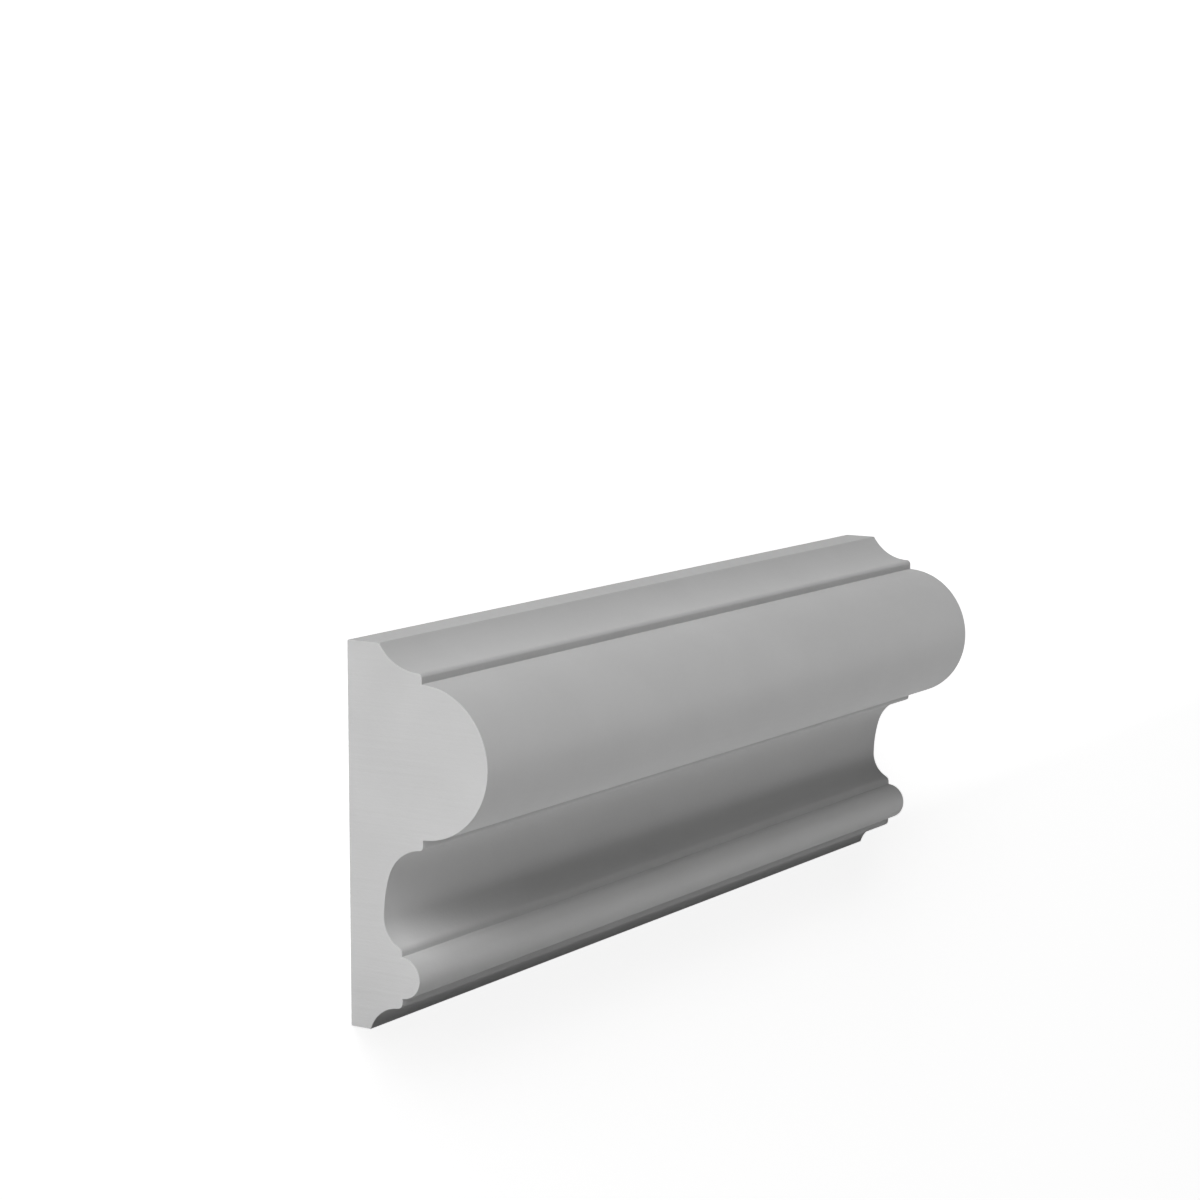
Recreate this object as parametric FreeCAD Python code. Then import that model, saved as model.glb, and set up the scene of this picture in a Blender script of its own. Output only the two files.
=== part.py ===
import FreeCAD, Part
import math
import os

# A straight length of dado rail, lying on its flat back. X runs along the length, Y towards the
# edge that is uppermost on a wall, and Z out from the wall. Sizes are in millimetres, angles in
# degrees. The section's members are stacked from the lower edge up, so its height is their sum.

LENGTH = 200.0

# How far the members stand out from the wall
BOTTOM_EDGE = 4.65
BEAD_FACE = 12.15
SCOTIA_WEB = 8.0
TORUS_FACE = 17.2
TOP_EDGE = 7.4

# How high the members are, from the lower edge up
BOTTOM_COVE_HEIGHT = 4.9
BEAD_LOWER_FILLET = 2.05
BEAD_RADIUS = 4.05
BEAD_UPPER_FILLET = 1.55
SCOTIA_HEIGHT = 19.55
TORUS_LOWER_FILLET = 2.1
TORUS_RADIUS = 14.8
TORUS_UPPER_FILLET = 2.1
TOP_COVE_HEIGHT = 5.05

# The curves of the hollows: the two coves, the scotia's tight lower arc, and the turn of the flat
# arc above the scotia's deepest point
BOTTOM_COVE_RADIUS = 7.15
TOP_COVE_RADIUS = 10.25
SCOTIA_HEEL_RADIUS = 6.0
SCOTIA_BELLY_TURN = 17.5

# Rounding of the arrises where a hollow meets a fillet
BEAD_LOWER_ARRIS = 1.2
BEAD_UPPER_ARRIS = 1.3
TORUS_LOWER_ARRIS = 0.8
TORUS_UPPER_ARRIS = 0.9

# Levels of the members above the lower edge
BEAD_LEVEL = BOTTOM_COVE_HEIGHT + BEAD_LOWER_FILLET + BEAD_RADIUS
SCOTIA_FOOT_LEVEL = BEAD_LEVEL + BEAD_RADIUS + BEAD_UPPER_FILLET
SCOTIA_TOP_LEVEL = SCOTIA_FOOT_LEVEL + SCOTIA_HEIGHT
TORUS_LEVEL = SCOTIA_TOP_LEVEL + TORUS_LOWER_FILLET + TORUS_RADIUS
TOP_COVE_LEVEL = TORUS_LEVEL + TORUS_RADIUS + TORUS_UPPER_FILLET
HEIGHT = TOP_COVE_LEVEL + TOP_COVE_HEIGHT


def section_point(out, level):
    """A point of the section at the near end, by its distance from the wall and its level."""
    return FreeCAD.Vector(-LENGTH / 2, level - HEIGHT / 2, out)


def line(start, end):
    """A straight stretch of the section."""
    return Part.LineSegment(section_point(*start), section_point(*end)).toShape()


def arc(centre, radius, first, last):
    """A round stretch about a centre; angles are measured from straight out towards up."""
    spots = []
    for angle in (first, (first + last) / 2, last):
        turn = math.radians(angle)
        out = centre[0] + radius * math.cos(turn)
        level = centre[1] + radius * math.sin(turn)
        spots.append(section_point(out, level))
    return Part.Arc(*spots).toShape()


def angle_from(centre, spot):
    """The angle at which a spot is seen from a centre."""
    return math.degrees(math.atan2(spot[1] - centre[1], spot[0] - centre[0]))


def arris_centre(centre, radius, face, easing, side):
    """Centre of the small round that eases a hollow into the face of a fillet.

    It touches both. The side is 1 for a fillet above the hollow and -1 for one below it.
    """
    out = face - easing
    rise = math.sqrt((radius + easing) ** 2 - (out - centre[0]) ** 2)
    return out, centre[1] + side * rise


def half_round(face, level, radius):
    """A half-round member that swells from its face, drawn upwards."""
    return arc((face, level), radius, -90, 90)


def bottom_cove():
    """The lower edge, the hollow above it, and the fillet that carries the bead."""
    centre_level = BOTTOM_COVE_HEIGHT - BOTTOM_COVE_RADIUS
    centre = (BOTTOM_EDGE + math.sqrt(BOTTOM_COVE_RADIUS ** 2 - centre_level ** 2), centre_level)
    arris = arris_centre(centre, BOTTOM_COVE_RADIUS, BEAD_FACE, BEAD_LOWER_ARRIS, 1)
    cove_end = angle_from(centre, arris)
    return [
        line((0, 0), (BOTTOM_EDGE, 0)),
        arc(centre, BOTTOM_COVE_RADIUS, angle_from(centre, (BOTTOM_EDGE, 0)), cove_end),
        arc(arris, BEAD_LOWER_ARRIS, cove_end - 180, 0),
        line((BEAD_FACE, arris[1]), (BEAD_FACE, BEAD_LEVEL - BEAD_RADIUS)),
    ]


def scotia():
    """The hollow between bead and torus, with the fillets at its foot and head, drawn upwards.

    Three arcs are tangent to each other. The heel sweeps from the foot to the deepest point, the
    belly carries on above it, and the crown turns square out to the head.
    """
    heel_out = SCOTIA_WEB + SCOTIA_HEEL_RADIUS
    heel_drop = math.sqrt(SCOTIA_HEEL_RADIUS ** 2 - (BEAD_FACE - heel_out) ** 2)
    heel = (heel_out, SCOTIA_FOOT_LEVEL + heel_drop)
    foot_arris = arris_centre(heel, SCOTIA_HEEL_RADIUS, BEAD_FACE, BEAD_UPPER_ARRIS, -1)
    heel_start = angle_from(heel, foot_arris)

    depth = TORUS_FACE - SCOTIA_WEB
    rise = SCOTIA_TOP_LEVEL - heel[1]
    turn = math.radians(SCOTIA_BELLY_TURN)
    growth = (rise - depth) / (math.sin(turn) + math.cos(turn) - 1)
    crown_radius = depth - growth * (1 - math.cos(turn))
    belly_radius = crown_radius + growth
    belly = (SCOTIA_WEB + belly_radius, heel[1])
    crown = (TORUS_FACE, SCOTIA_TOP_LEVEL - crown_radius)
    crown_start = 180 - SCOTIA_BELLY_TURN
    head_arris = arris_centre(crown, crown_radius, TORUS_FACE, TORUS_LOWER_ARRIS, 1)
    crown_end = angle_from(crown, head_arris)
    return [
        line((BEAD_FACE, BEAD_LEVEL + BEAD_RADIUS), (BEAD_FACE, foot_arris[1])),
        arc(foot_arris, BEAD_UPPER_ARRIS, 0, heel_start + 180),
        arc(heel, SCOTIA_HEEL_RADIUS, heel_start, -180),
        arc(belly, belly_radius, 180, crown_start),
        arc(crown, crown_radius, crown_start, crown_end),
        arc(head_arris, TORUS_LOWER_ARRIS, crown_end - 180, 0),
        line((TORUS_FACE, head_arris[1]), (TORUS_FACE, TORUS_LEVEL - TORUS_RADIUS)),
    ]


def top_cove():
    """The fillet above the torus, the hollow it leads into, and the upper edge."""
    centre_level = TOP_COVE_LEVEL + TOP_COVE_RADIUS
    reach = math.sqrt(TOP_COVE_RADIUS ** 2 - (centre_level - HEIGHT) ** 2)
    centre = (TOP_EDGE + reach, centre_level)
    arris = arris_centre(centre, TOP_COVE_RADIUS, TORUS_FACE, TORUS_UPPER_ARRIS, -1)
    cove_start = angle_from(centre, arris)
    return [
        line((TORUS_FACE, TORUS_LEVEL + TORUS_RADIUS), (TORUS_FACE, arris[1])),
        arc(arris, TORUS_UPPER_ARRIS, 0, cove_start + 180),
        arc(centre, TOP_COVE_RADIUS, cove_start, angle_from(centre, (TOP_EDGE, HEIGHT))),
        line((TOP_EDGE, HEIGHT), (0, HEIGHT)),
    ]


def section():
    """The closed section, from the lower back corner up the front and down the back."""
    edges = [
        *bottom_cove(),
        half_round(BEAD_FACE, BEAD_LEVEL, BEAD_RADIUS),
        *scotia(),
        half_round(TORUS_FACE, TORUS_LEVEL, TORUS_RADIUS),
        *top_cove(),
        line((0, HEIGHT), (0, 0)),
    ]
    return Part.Face(Part.Wire(edges))


def dado_rail():
    """The whole length, cut square at both ends."""
    return section().extrude(FreeCAD.Vector(LENGTH, 0, 0))


os.makedirs("parts", exist_ok=True)
dado_rail().exportStep("parts/dado_rail.step")
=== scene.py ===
import math
from collections import namedtuple

import bmesh
import bpy
import numpy as np
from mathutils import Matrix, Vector


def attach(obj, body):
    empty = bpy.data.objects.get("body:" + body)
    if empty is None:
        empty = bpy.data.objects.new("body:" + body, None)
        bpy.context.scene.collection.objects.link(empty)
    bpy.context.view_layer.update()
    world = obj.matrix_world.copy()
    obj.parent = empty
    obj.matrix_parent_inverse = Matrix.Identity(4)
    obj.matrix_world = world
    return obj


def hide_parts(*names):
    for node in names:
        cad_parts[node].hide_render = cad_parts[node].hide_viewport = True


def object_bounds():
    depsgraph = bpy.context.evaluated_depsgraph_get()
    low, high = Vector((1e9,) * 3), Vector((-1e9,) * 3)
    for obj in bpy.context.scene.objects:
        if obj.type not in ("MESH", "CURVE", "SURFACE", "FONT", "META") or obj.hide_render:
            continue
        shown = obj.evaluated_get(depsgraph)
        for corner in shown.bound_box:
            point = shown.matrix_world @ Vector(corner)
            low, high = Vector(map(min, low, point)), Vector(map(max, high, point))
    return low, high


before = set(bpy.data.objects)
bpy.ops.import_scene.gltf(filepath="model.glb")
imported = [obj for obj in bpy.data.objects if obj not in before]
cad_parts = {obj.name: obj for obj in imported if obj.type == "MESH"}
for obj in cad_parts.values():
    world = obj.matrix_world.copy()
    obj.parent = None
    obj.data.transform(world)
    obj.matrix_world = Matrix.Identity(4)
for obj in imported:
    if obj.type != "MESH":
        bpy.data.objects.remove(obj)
cad_low, cad_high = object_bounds()

MM = 0.001

# The rail's section, in millimetres: how far its members stand out from the wall
BOTTOM_EDGE = 4.65
BEAD_FACE = 12.15
SCOTIA_WEB = 8.0
TORUS_FACE = 17.2
TOP_EDGE = 7.4

# How high its members are, from the lower edge up
BOTTOM_COVE_HEIGHT = 4.9
BEAD_LOWER_FILLET = 2.05
BEAD_RADIUS = 4.05
BEAD_UPPER_FILLET = 1.55
SCOTIA_HEIGHT = 19.55
TORUS_LOWER_FILLET = 2.1
TORUS_RADIUS = 14.8
TORUS_UPPER_FILLET = 2.1
TOP_COVE_HEIGHT = 5.05

# The curves of its hollows; the belly's turn is in degrees
BOTTOM_COVE_RADIUS = 7.15
TOP_COVE_RADIUS = 10.25
SCOTIA_HEEL_RADIUS = 6.0
SCOTIA_BELLY_TURN = 17.5

# Rounding of the arrises, of every other edge under its primer, and of the sawn ends
BEAD_LOWER_ARRIS = 1.2
BEAD_UPPER_ARRIS = 1.3
TORUS_LOWER_ARRIS = 0.8
TORUS_UPPER_ARRIS = 0.9
PRIMED_EDGE = 0.2
SAWN_EDGE = 0.08

# Levels of the members above the lower edge
BEAD_LEVEL = BOTTOM_COVE_HEIGHT + BEAD_LOWER_FILLET + BEAD_RADIUS
SCOTIA_FOOT_LEVEL = BEAD_LEVEL + BEAD_RADIUS + BEAD_UPPER_FILLET
SCOTIA_TOP_LEVEL = SCOTIA_FOOT_LEVEL + SCOTIA_HEIGHT
TORUS_LEVEL = SCOTIA_TOP_LEVEL + TORUS_LOWER_FILLET + TORUS_RADIUS
TOP_COVE_LEVEL = TORUS_LEVEL + TORUS_RADIUS + TORUS_UPPER_FILLET
HEIGHT = TOP_COVE_LEVEL + TOP_COVE_HEIGHT

# How fine the mesh is: the longest step along an arc and the fewest steps in one, the steps of an
# eased edge and of an eased end, how far apart the rings are along the length, and how close two
# points are that count as one. Lengths are in millimetres.
ARC_STEP = 0.4
FEWEST_ARC_STEPS = 4
EASING_STEPS = 5
END_STEPS = 3
RING_SPACING = 5.0
SAME_POINT = 1e-6

# Which of the rail's materials is on its sawn ends
SAWN_MATERIAL = 1

# A noise over the rail: its scale and detail, its depth as relief in metres, its stretch by axis,
# and its turn about the length in degrees
Noise = namedtuple("Noise", "scale detail depth stretch turn", defaults=(0.0, (1, 1, 1), 0))

# The primer: how much it shines, its clouds of tone, and the part of a noise's range that is
# spread over its greys and its roughness
PRIMER_SPECULAR = 0.25
CLOUDS = Noise(scale=55, detail=4)
NOISE_LOW = 0.3
NOISE_HIGH = 0.7

# The photograph's camera: its place in metres, its turn from square on to the rail's face towards
# the near end and its tilt down in degrees, its lens and sensor in millimetres, and how near to it
# things show, in metres
CAMERA_PLACE = (-0.57525, 0.12758, 0.35903)
CAMERA_TURN = 57.529
CAMERA_TILT = 7.916
CAMERA_LENS = 95.394
CAMERA_SENSOR = 36.0
CAMERA_CLIP = 0.01

# The floor: how far it reaches each way in metres, how pale it is by lamplight, and how brightly it
# glows where it is seen directly
FLOOR_REACH = 4.0
FLOOR_GREY = 0.5
FLOOR_GLOW = 0.88

# The far lamps: how far they stand from the rail and how wide they are, in metres
LAMP_DISTANCE = 2.5
LAMP_SIZE = 1.4

# How far past the rail's lower edge the low lamps stand, in metres
LOW_LAMP_GAP = 0.001


def arc(centre, radius, first, last):
    """Points of a round stretch; angles in degrees, from straight out towards up."""
    length = radius * math.radians(abs(last - first))
    count = max(FEWEST_ARC_STEPS, math.ceil(length / ARC_STEP))
    turns = np.radians(np.linspace(first, last, count + 1))
    return np.column_stack([centre[0] + radius * np.cos(turns), centre[1] + radius * np.sin(turns)])


def angle_from(centre, spot):
    """The angle at which a spot is seen from a centre."""
    return math.degrees(math.atan2(spot[1] - centre[1], spot[0] - centre[0]))


def arris_centre(centre, radius, face, easing, side):
    """Centre of the round that eases a hollow into a fillet above it (1) or below it (-1)."""
    out = face - easing
    rise = math.sqrt((radius + easing) ** 2 - (out - centre[0]) ** 2)
    return out, centre[1] + side * rise


def joined(*stretches):
    """Stretches that run into each other, as one, with no point twice."""
    points = np.vstack([np.array(stretch, float) for stretch in stretches])
    steps = np.linalg.norm(np.diff(points, axis=0), axis=1)
    return points[np.concatenate([[True], steps > SAME_POINT])]


def bottom_cove():
    """The hollow above the lower edge, and the fillet that carries the bead."""
    level = BOTTOM_COVE_HEIGHT - BOTTOM_COVE_RADIUS
    centre = (BOTTOM_EDGE + math.sqrt(BOTTOM_COVE_RADIUS ** 2 - level ** 2), level)
    arris = arris_centre(centre, BOTTOM_COVE_RADIUS, BEAD_FACE, BEAD_LOWER_ARRIS, 1)
    start = angle_from(centre, (BOTTOM_EDGE, 0))
    end = angle_from(centre, arris)
    return joined(
        arc(centre, BOTTOM_COVE_RADIUS, start, end),
        arc(arris, BEAD_LOWER_ARRIS, end - 180, 0),
        [(BEAD_FACE, BEAD_LEVEL - BEAD_RADIUS)],
    )


def scotia():
    """The hollow between bead and torus, heel, belly and crown, with the fillets at its ends."""
    heel_out = SCOTIA_WEB + SCOTIA_HEEL_RADIUS
    heel_drop = math.sqrt(SCOTIA_HEEL_RADIUS ** 2 - (BEAD_FACE - heel_out) ** 2)
    heel = (heel_out, SCOTIA_FOOT_LEVEL + heel_drop)
    foot_arris = arris_centre(heel, SCOTIA_HEEL_RADIUS, BEAD_FACE, BEAD_UPPER_ARRIS, -1)
    heel_start = angle_from(heel, foot_arris)
    depth = TORUS_FACE - SCOTIA_WEB
    rise = SCOTIA_TOP_LEVEL - heel[1]
    turn = math.radians(SCOTIA_BELLY_TURN)
    growth = (rise - depth) / (math.sin(turn) + math.cos(turn) - 1)
    crown_radius = depth - growth * (1 - math.cos(turn))
    belly_radius = crown_radius + growth
    belly = (SCOTIA_WEB + belly_radius, heel[1])
    crown = (TORUS_FACE, SCOTIA_TOP_LEVEL - crown_radius)
    crown_start = 180 - SCOTIA_BELLY_TURN
    head_arris = arris_centre(crown, crown_radius, TORUS_FACE, TORUS_LOWER_ARRIS, 1)
    crown_end = angle_from(crown, head_arris)
    return joined(
        [(BEAD_FACE, BEAD_LEVEL + BEAD_RADIUS)],
        arc(foot_arris, BEAD_UPPER_ARRIS, 0, heel_start + 180),
        arc(heel, SCOTIA_HEEL_RADIUS, heel_start, -180),
        arc(belly, belly_radius, 180, crown_start),
        arc(crown, crown_radius, crown_start, crown_end),
        arc(head_arris, TORUS_LOWER_ARRIS, crown_end - 180, 0),
        [(TORUS_FACE, TORUS_LEVEL - TORUS_RADIUS)],
    )


def top_cove():
    """The fillet above the torus, and the hollow that it leads into."""
    level = TOP_COVE_LEVEL + TOP_COVE_RADIUS
    centre = (TOP_EDGE + math.sqrt(TOP_COVE_RADIUS ** 2 - (level - HEIGHT) ** 2), level)
    arris = arris_centre(centre, TOP_COVE_RADIUS, TORUS_FACE, TORUS_UPPER_ARRIS, -1)
    start = angle_from(centre, arris)
    return joined(
        [(TORUS_FACE, TORUS_LEVEL + TORUS_RADIUS)],
        arc(arris, TORUS_UPPER_ARRIS, 0, start + 180),
        arc(centre, TOP_COVE_RADIUS, start, angle_from(centre, (TOP_EDGE, HEIGHT))),
    )


def section():
    """The section's stretches from corner to corner, up the front and down the back."""
    return [
        joined([(0, 0), (BOTTOM_EDGE, 0)]),
        bottom_cove(),
        arc((BEAD_FACE, BEAD_LEVEL), BEAD_RADIUS, -90, 90),
        scotia(),
        arc((TORUS_FACE, TORUS_LEVEL), TORUS_RADIUS, -90, 90),
        top_cove(),
        joined([(TOP_EDGE, HEIGHT), (0, HEIGHT)]),
        joined([(0, HEIGHT), (0, 0)]),
    ]


def shortened(points, length):
    """A stretch without the last part of it, of the given length."""
    steps = np.linalg.norm(np.diff(points, axis=0), axis=1)
    left = steps.sum() - length
    reached = np.concatenate([[0.0], np.cumsum(steps)])
    kept = points[reached < left - SAME_POINT]
    end = [np.interp(left, reached, points[:, k]) for k in range(2)]
    return np.vstack([kept, end])


def eased_outline():
    """The section as one closed loop of points, each corner turned into a small curve."""
    loops = section()
    corners = [points[-1] for points in loops]
    for here, corner in enumerate(corners):
        after = (here + 1) % len(loops)
        come = corner - loops[here][-2]
        go = loops[after][1] - corner
        cosine = come @ go / np.linalg.norm(come) / np.linalg.norm(go)
        reach = PRIMED_EDGE * math.tan(math.acos(cosine) / 2)
        loops[here] = shortened(loops[here], reach)
        loops[after] = shortened(loops[after][::-1], reach)[::-1]
    outline = []
    for here, corner in enumerate(corners):
        start = loops[here][-1]
        end = loops[(here + 1) % len(loops)][0]
        outline.append(loops[here])
        for share in np.linspace(0, 1, EASING_STEPS + 1)[1:-1]:
            spot = (1 - share) ** 2 * start + 2 * share * (1 - share) * corner + share ** 2 * end
            outline.append(spot[None])
    return np.vstack(outline)


def inset(outline, distance):
    """The loop moved inwards by a distance, all round."""
    before = outline - np.roll(outline, 1, axis=0)
    after = np.roll(outline, -1, axis=0) - outline
    before /= np.linalg.norm(before, axis=1)[:, None]
    after /= np.linalg.norm(after, axis=1)[:, None]
    middle = before + after
    middle /= np.linalg.norm(middle, axis=1)[:, None]
    inward = np.column_stack([-middle[:, 1], middle[:, 0]])
    spread = np.sqrt((1 + (before * after).sum(axis=1)) / 2)
    return outline + inward * (distance / spread)[:, None]


def ring_places():
    """Where the loop stands along the length, and how far it is inset there for the eased ends."""
    half_length = (cad_high.x - cad_low.x) / MM / 2
    straight = half_length - SAWN_EDGE
    far = []
    for turn in np.linspace(0, math.pi / 2, END_STEPS + 1):
        along = half_length - SAWN_EDGE * (1 - math.sin(turn))
        far.append((along, SAWN_EDGE * (1 - math.cos(turn))))
    near = [(-along, depth) for along, depth in reversed(far)]
    count = round(2 * straight / RING_SPACING)
    middle = [(along, 0.0) for along in np.linspace(-straight, straight, count + 1)[1:-1]]
    return near + middle + far


def make_rings(mesh):
    """The section's loop as rings of points in the mesh, from the near end to the far one."""
    outline = eased_outline()
    rings = []
    for along, depth in ring_places():
        ring = []
        for out, up in inset(outline, depth):
            ring.append(mesh.verts.new((along * MM, (up - HEIGHT / 2) * MM, out * MM)))
        rings.append(ring)
    return rings


def add_object(name, data):
    """An object of the scene, with its data."""
    added = bpy.data.objects.new(name, data)
    bpy.context.scene.collection.objects.link(added)
    return added


def add_mesh(name, mesh):
    """A finished mesh as an object of the scene."""
    data = bpy.data.meshes.new(name)
    mesh.to_mesh(data)
    mesh.free()
    return add_object(name, data)


def make_rail():
    """The rail as a mesh: rings of the section along the length, closed by its two sawn ends."""
    mesh = bmesh.new()
    rings = make_rings(mesh)
    size = len(rings[0])
    for here, there in zip(rings, rings[1:]):
        for k in range(size):
            after = (k + 1) % size
            mesh.faces.new((here[k], here[after], there[after], there[k]))
    for end in (rings[0][::-1], rings[-1]):
        mesh.faces.new(end).material_index = SAWN_MATERIAL
    bmesh.ops.recalc_face_normals(mesh, faces=mesh.faces)
    for face in mesh.faces:
        face.smooth = True
    rail = add_mesh("rail", mesh)
    rail.modifiers.new("flat faces stay flat", "WEIGHTED_NORMAL")
    return rail


def pattern(nodes, links, noise):
    """A noise as nodes, in the rail's own coordinates."""
    place = nodes.new("ShaderNodeTexCoord")
    mapping = nodes.new("ShaderNodeMapping")
    mapping.inputs["Rotation"].default_value = (math.radians(noise.turn), 0, 0)
    mapping.inputs["Scale"].default_value = noise.stretch
    texture = nodes.new("ShaderNodeTexNoise")
    texture.inputs["Scale"].default_value = noise.scale
    texture.inputs["Detail"].default_value = noise.detail
    links.new(place.outputs["Object"], mapping.inputs["Vector"])
    links.new(mapping.outputs["Vector"], texture.inputs["Vector"])
    return texture.outputs["Fac"]


def greys(nodes, links, source, tones):
    """A pattern turned into a range of greys."""
    ramp = nodes.new("ShaderNodeValToRGB")
    for stop, position, grey in zip(ramp.color_ramp.elements, (NOISE_LOW, NOISE_HIGH), tones):
        stop.position = position
        stop.color = (grey, grey, grey, 1)
    links.new(source, ramp.inputs["Fac"])
    return ramp.outputs["Color"]


def values(nodes, links, source, low, high):
    """A pattern turned into a range of values."""
    spread = nodes.new("ShaderNodeMapRange")
    spread.inputs["From Min"].default_value = NOISE_LOW
    spread.inputs["From Max"].default_value = NOISE_HIGH
    spread.inputs["To Min"].default_value = low
    spread.inputs["To Max"].default_value = high
    links.new(source, spread.inputs["Value"])
    return spread.outputs["Result"]


def relief(nodes, links, shader, layers):
    """Patterns as bumps on the shader, one on top of the other, each with its depth in metres."""
    below = None
    for source, depth in layers:
        bump = nodes.new("ShaderNodeBump")
        bump.inputs["Distance"].default_value = depth
        links.new(source, bump.inputs["Height"])
        if below:
            links.new(below, bump.inputs["Normal"])
        below = bump.outputs["Normal"]
    links.new(below, shader.inputs["Normal"])


def grey_primer(name, tones, roughness, lines, peel, nap):
    """Matt grey primer over wood: faint clouds of tone, cutter or saw lines, orange peel and nap.

    Tones and roughness are given as ranges, the rest as noises.
    """
    material = bpy.data.materials.new(name)
    material.use_nodes = True
    nodes = material.node_tree.nodes
    links = material.node_tree.links
    shader = nodes["Principled BSDF"]
    shader.inputs["Specular IOR Level"].default_value = PRIMER_SPECULAR
    clouds = pattern(nodes, links, CLOUDS)
    cuts = pattern(nodes, links, lines)
    dimples = pattern(nodes, links, peel)
    fibres = pattern(nodes, links, nap)
    links.new(greys(nodes, links, clouds, tones), shader.inputs["Base Color"])
    links.new(values(nodes, links, dimples, *roughness), shader.inputs["Roughness"])
    relief(nodes, links, shader, [(cuts, lines.depth), (dimples, peel.depth), (fibres, nap.depth)])
    return material


def make_camera():
    """The photograph's camera. The rail lies on its back, so the camera looks down on it."""
    data = bpy.data.cameras.new("camera")
    data.lens = CAMERA_LENS
    data.sensor_width = CAMERA_SENSOR
    data.clip_start = CAMERA_CLIP
    camera = add_object("camera", data)
    camera.location = CAMERA_PLACE
    camera.rotation_euler = (-math.radians(CAMERA_TILT), -math.radians(CAMERA_TURN), 0)
    bpy.context.scene.camera = camera


def seen_directly(nodes, links):
    """A value of 1 for what the camera sees itself or through a reflection or glass."""
    path = nodes.new("ShaderNodeLightPath")
    total = path.outputs["Is Camera Ray"]
    for name in ("Is Glossy Ray", "Is Transmission Ray"):
        most = nodes.new("ShaderNodeMath")
        most.operation = "MAXIMUM"
        links.new(total, most.inputs[0])
        links.new(path.outputs[name], most.inputs[1])
        total = most.outputs[0]
    return total


def make_world():
    """White where it is seen directly. To all else it is dark, and the lamps are the light."""
    world = bpy.data.worlds.new("studio")
    world.use_nodes = True
    nodes = world.node_tree.nodes
    links = world.node_tree.links
    backdrop = nodes["Background"]
    backdrop.inputs["Color"].default_value = (1, 1, 1, 1)
    links.new(seen_directly(nodes, links), backdrop.inputs["Strength"])
    bpy.context.scene.world = world


def floor_material():
    """A pale grey with a glow where it is seen directly, so that it looks white there."""
    material = bpy.data.materials.new("floor")
    material.use_nodes = True
    nodes = material.node_tree.nodes
    links = material.node_tree.links
    nodes.remove(nodes["Principled BSDF"])
    plain = nodes.new("ShaderNodeBsdfDiffuse")
    plain.inputs["Color"].default_value = (FLOOR_GREY, FLOOR_GREY, FLOOR_GREY, 1)
    strength = nodes.new("ShaderNodeMath")
    strength.operation = "MULTIPLY"
    strength.inputs[1].default_value = FLOOR_GLOW
    glow = nodes.new("ShaderNodeEmission")
    both = nodes.new("ShaderNodeAddShader")
    links.new(seen_directly(nodes, links), strength.inputs[0])
    links.new(strength.outputs[0], glow.inputs["Strength"])
    links.new(plain.outputs[0], both.inputs[0])
    links.new(glow.outputs[0], both.inputs[1])
    links.new(both.outputs[0], nodes["Material Output"].inputs["Surface"])
    return material


def make_floor():
    """The floor that the rail lies on, which keeps a faint shadow."""
    mesh = bmesh.new()
    bmesh.ops.create_grid(mesh, x_segments=1, y_segments=1, size=FLOOR_REACH)
    floor = add_mesh("floor", mesh)
    floor.data.materials.append(floor_material())


def make_lamp(name, azimuth, elevation, power):
    """A large soft lamp that looks at the rail; azimuth is from its far end towards its upper edge."""
    around = math.radians(azimuth)
    up = math.radians(elevation)
    way = Vector((math.cos(around) * math.cos(up), math.sin(around) * math.cos(up), math.sin(up)))
    data = bpy.data.lights.new(name, "AREA")
    data.size = LAMP_SIZE
    data.energy = power
    lamp = add_object(name, data)
    lamp.location = way * LAMP_DISTANCE
    lamp.rotation_euler = way.to_track_quat("Z", "Y").to_euler()


def make_low_lamp(name, along, up, power):
    """An upright lamp just past the rail's lower edge, which leaves the lower cove in shade.

    It faces the rail. Along and up are where it begins and ends, in metres.
    """
    data = bpy.data.lights.new(name, "AREA")
    data.shape = "RECTANGLE"
    data.size = along[1] - along[0]
    data.size_y = up[1] - up[0]
    data.energy = power
    lamp = add_object(name, data)
    lamp.location = (sum(along) / 2, cad_low.y - LOW_LAMP_GAP, sum(up) / 2)
    lamp.rotation_euler = (math.radians(90), 0, 0)
    lamp.visible_camera = False


rail = make_rail()
rail.data.materials.append(grey_primer(
    "primed_grey",
    tones=(0.49, 0.51),
    roughness=(0.72, 0.84),
    lines=Noise(scale=700, detail=3, depth=3e-5, stretch=(0.02, 1, 1)),
    peel=Noise(scale=900, detail=2, depth=2.5e-5),
    nap=Noise(scale=2400, detail=3, depth=1e-5),
))
rail.data.materials.append(grey_primer(
    "sawn_grey",
    tones=(0.485, 0.515),
    roughness=(0.78, 0.9),
    lines=Noise(scale=900, detail=3, depth=5e-5, stretch=(1, 1, 0.04), turn=24),
    peel=Noise(scale=1300, detail=2, depth=2.5e-5),
    nap=Noise(scale=3200, detail=3, depth=1.5e-5),
))
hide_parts("dado_rail")
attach(rail, "root")

make_camera()
make_world()
make_floor()
make_lamp("key above the near end", azimuth=120, elevation=18, power=30.4)
make_lamp("low key above the near end", azimuth=150, elevation=5, power=58.1)
make_lamp("fill below the near end", azimuth=-160, elevation=5, power=15.0)
make_lamp("fill below the far end", azimuth=-20, elevation=5, power=5.0)
make_low_lamp("low panel", along=(-0.2, 0.5), up=(0.06, 0.4), power=0.763)
make_low_lamp("low strip", along=(-0.2, 0.2), up=(0.025, 0.03), power=0.0136)
bpy.context.scene.view_settings.view_transform = "Standard"
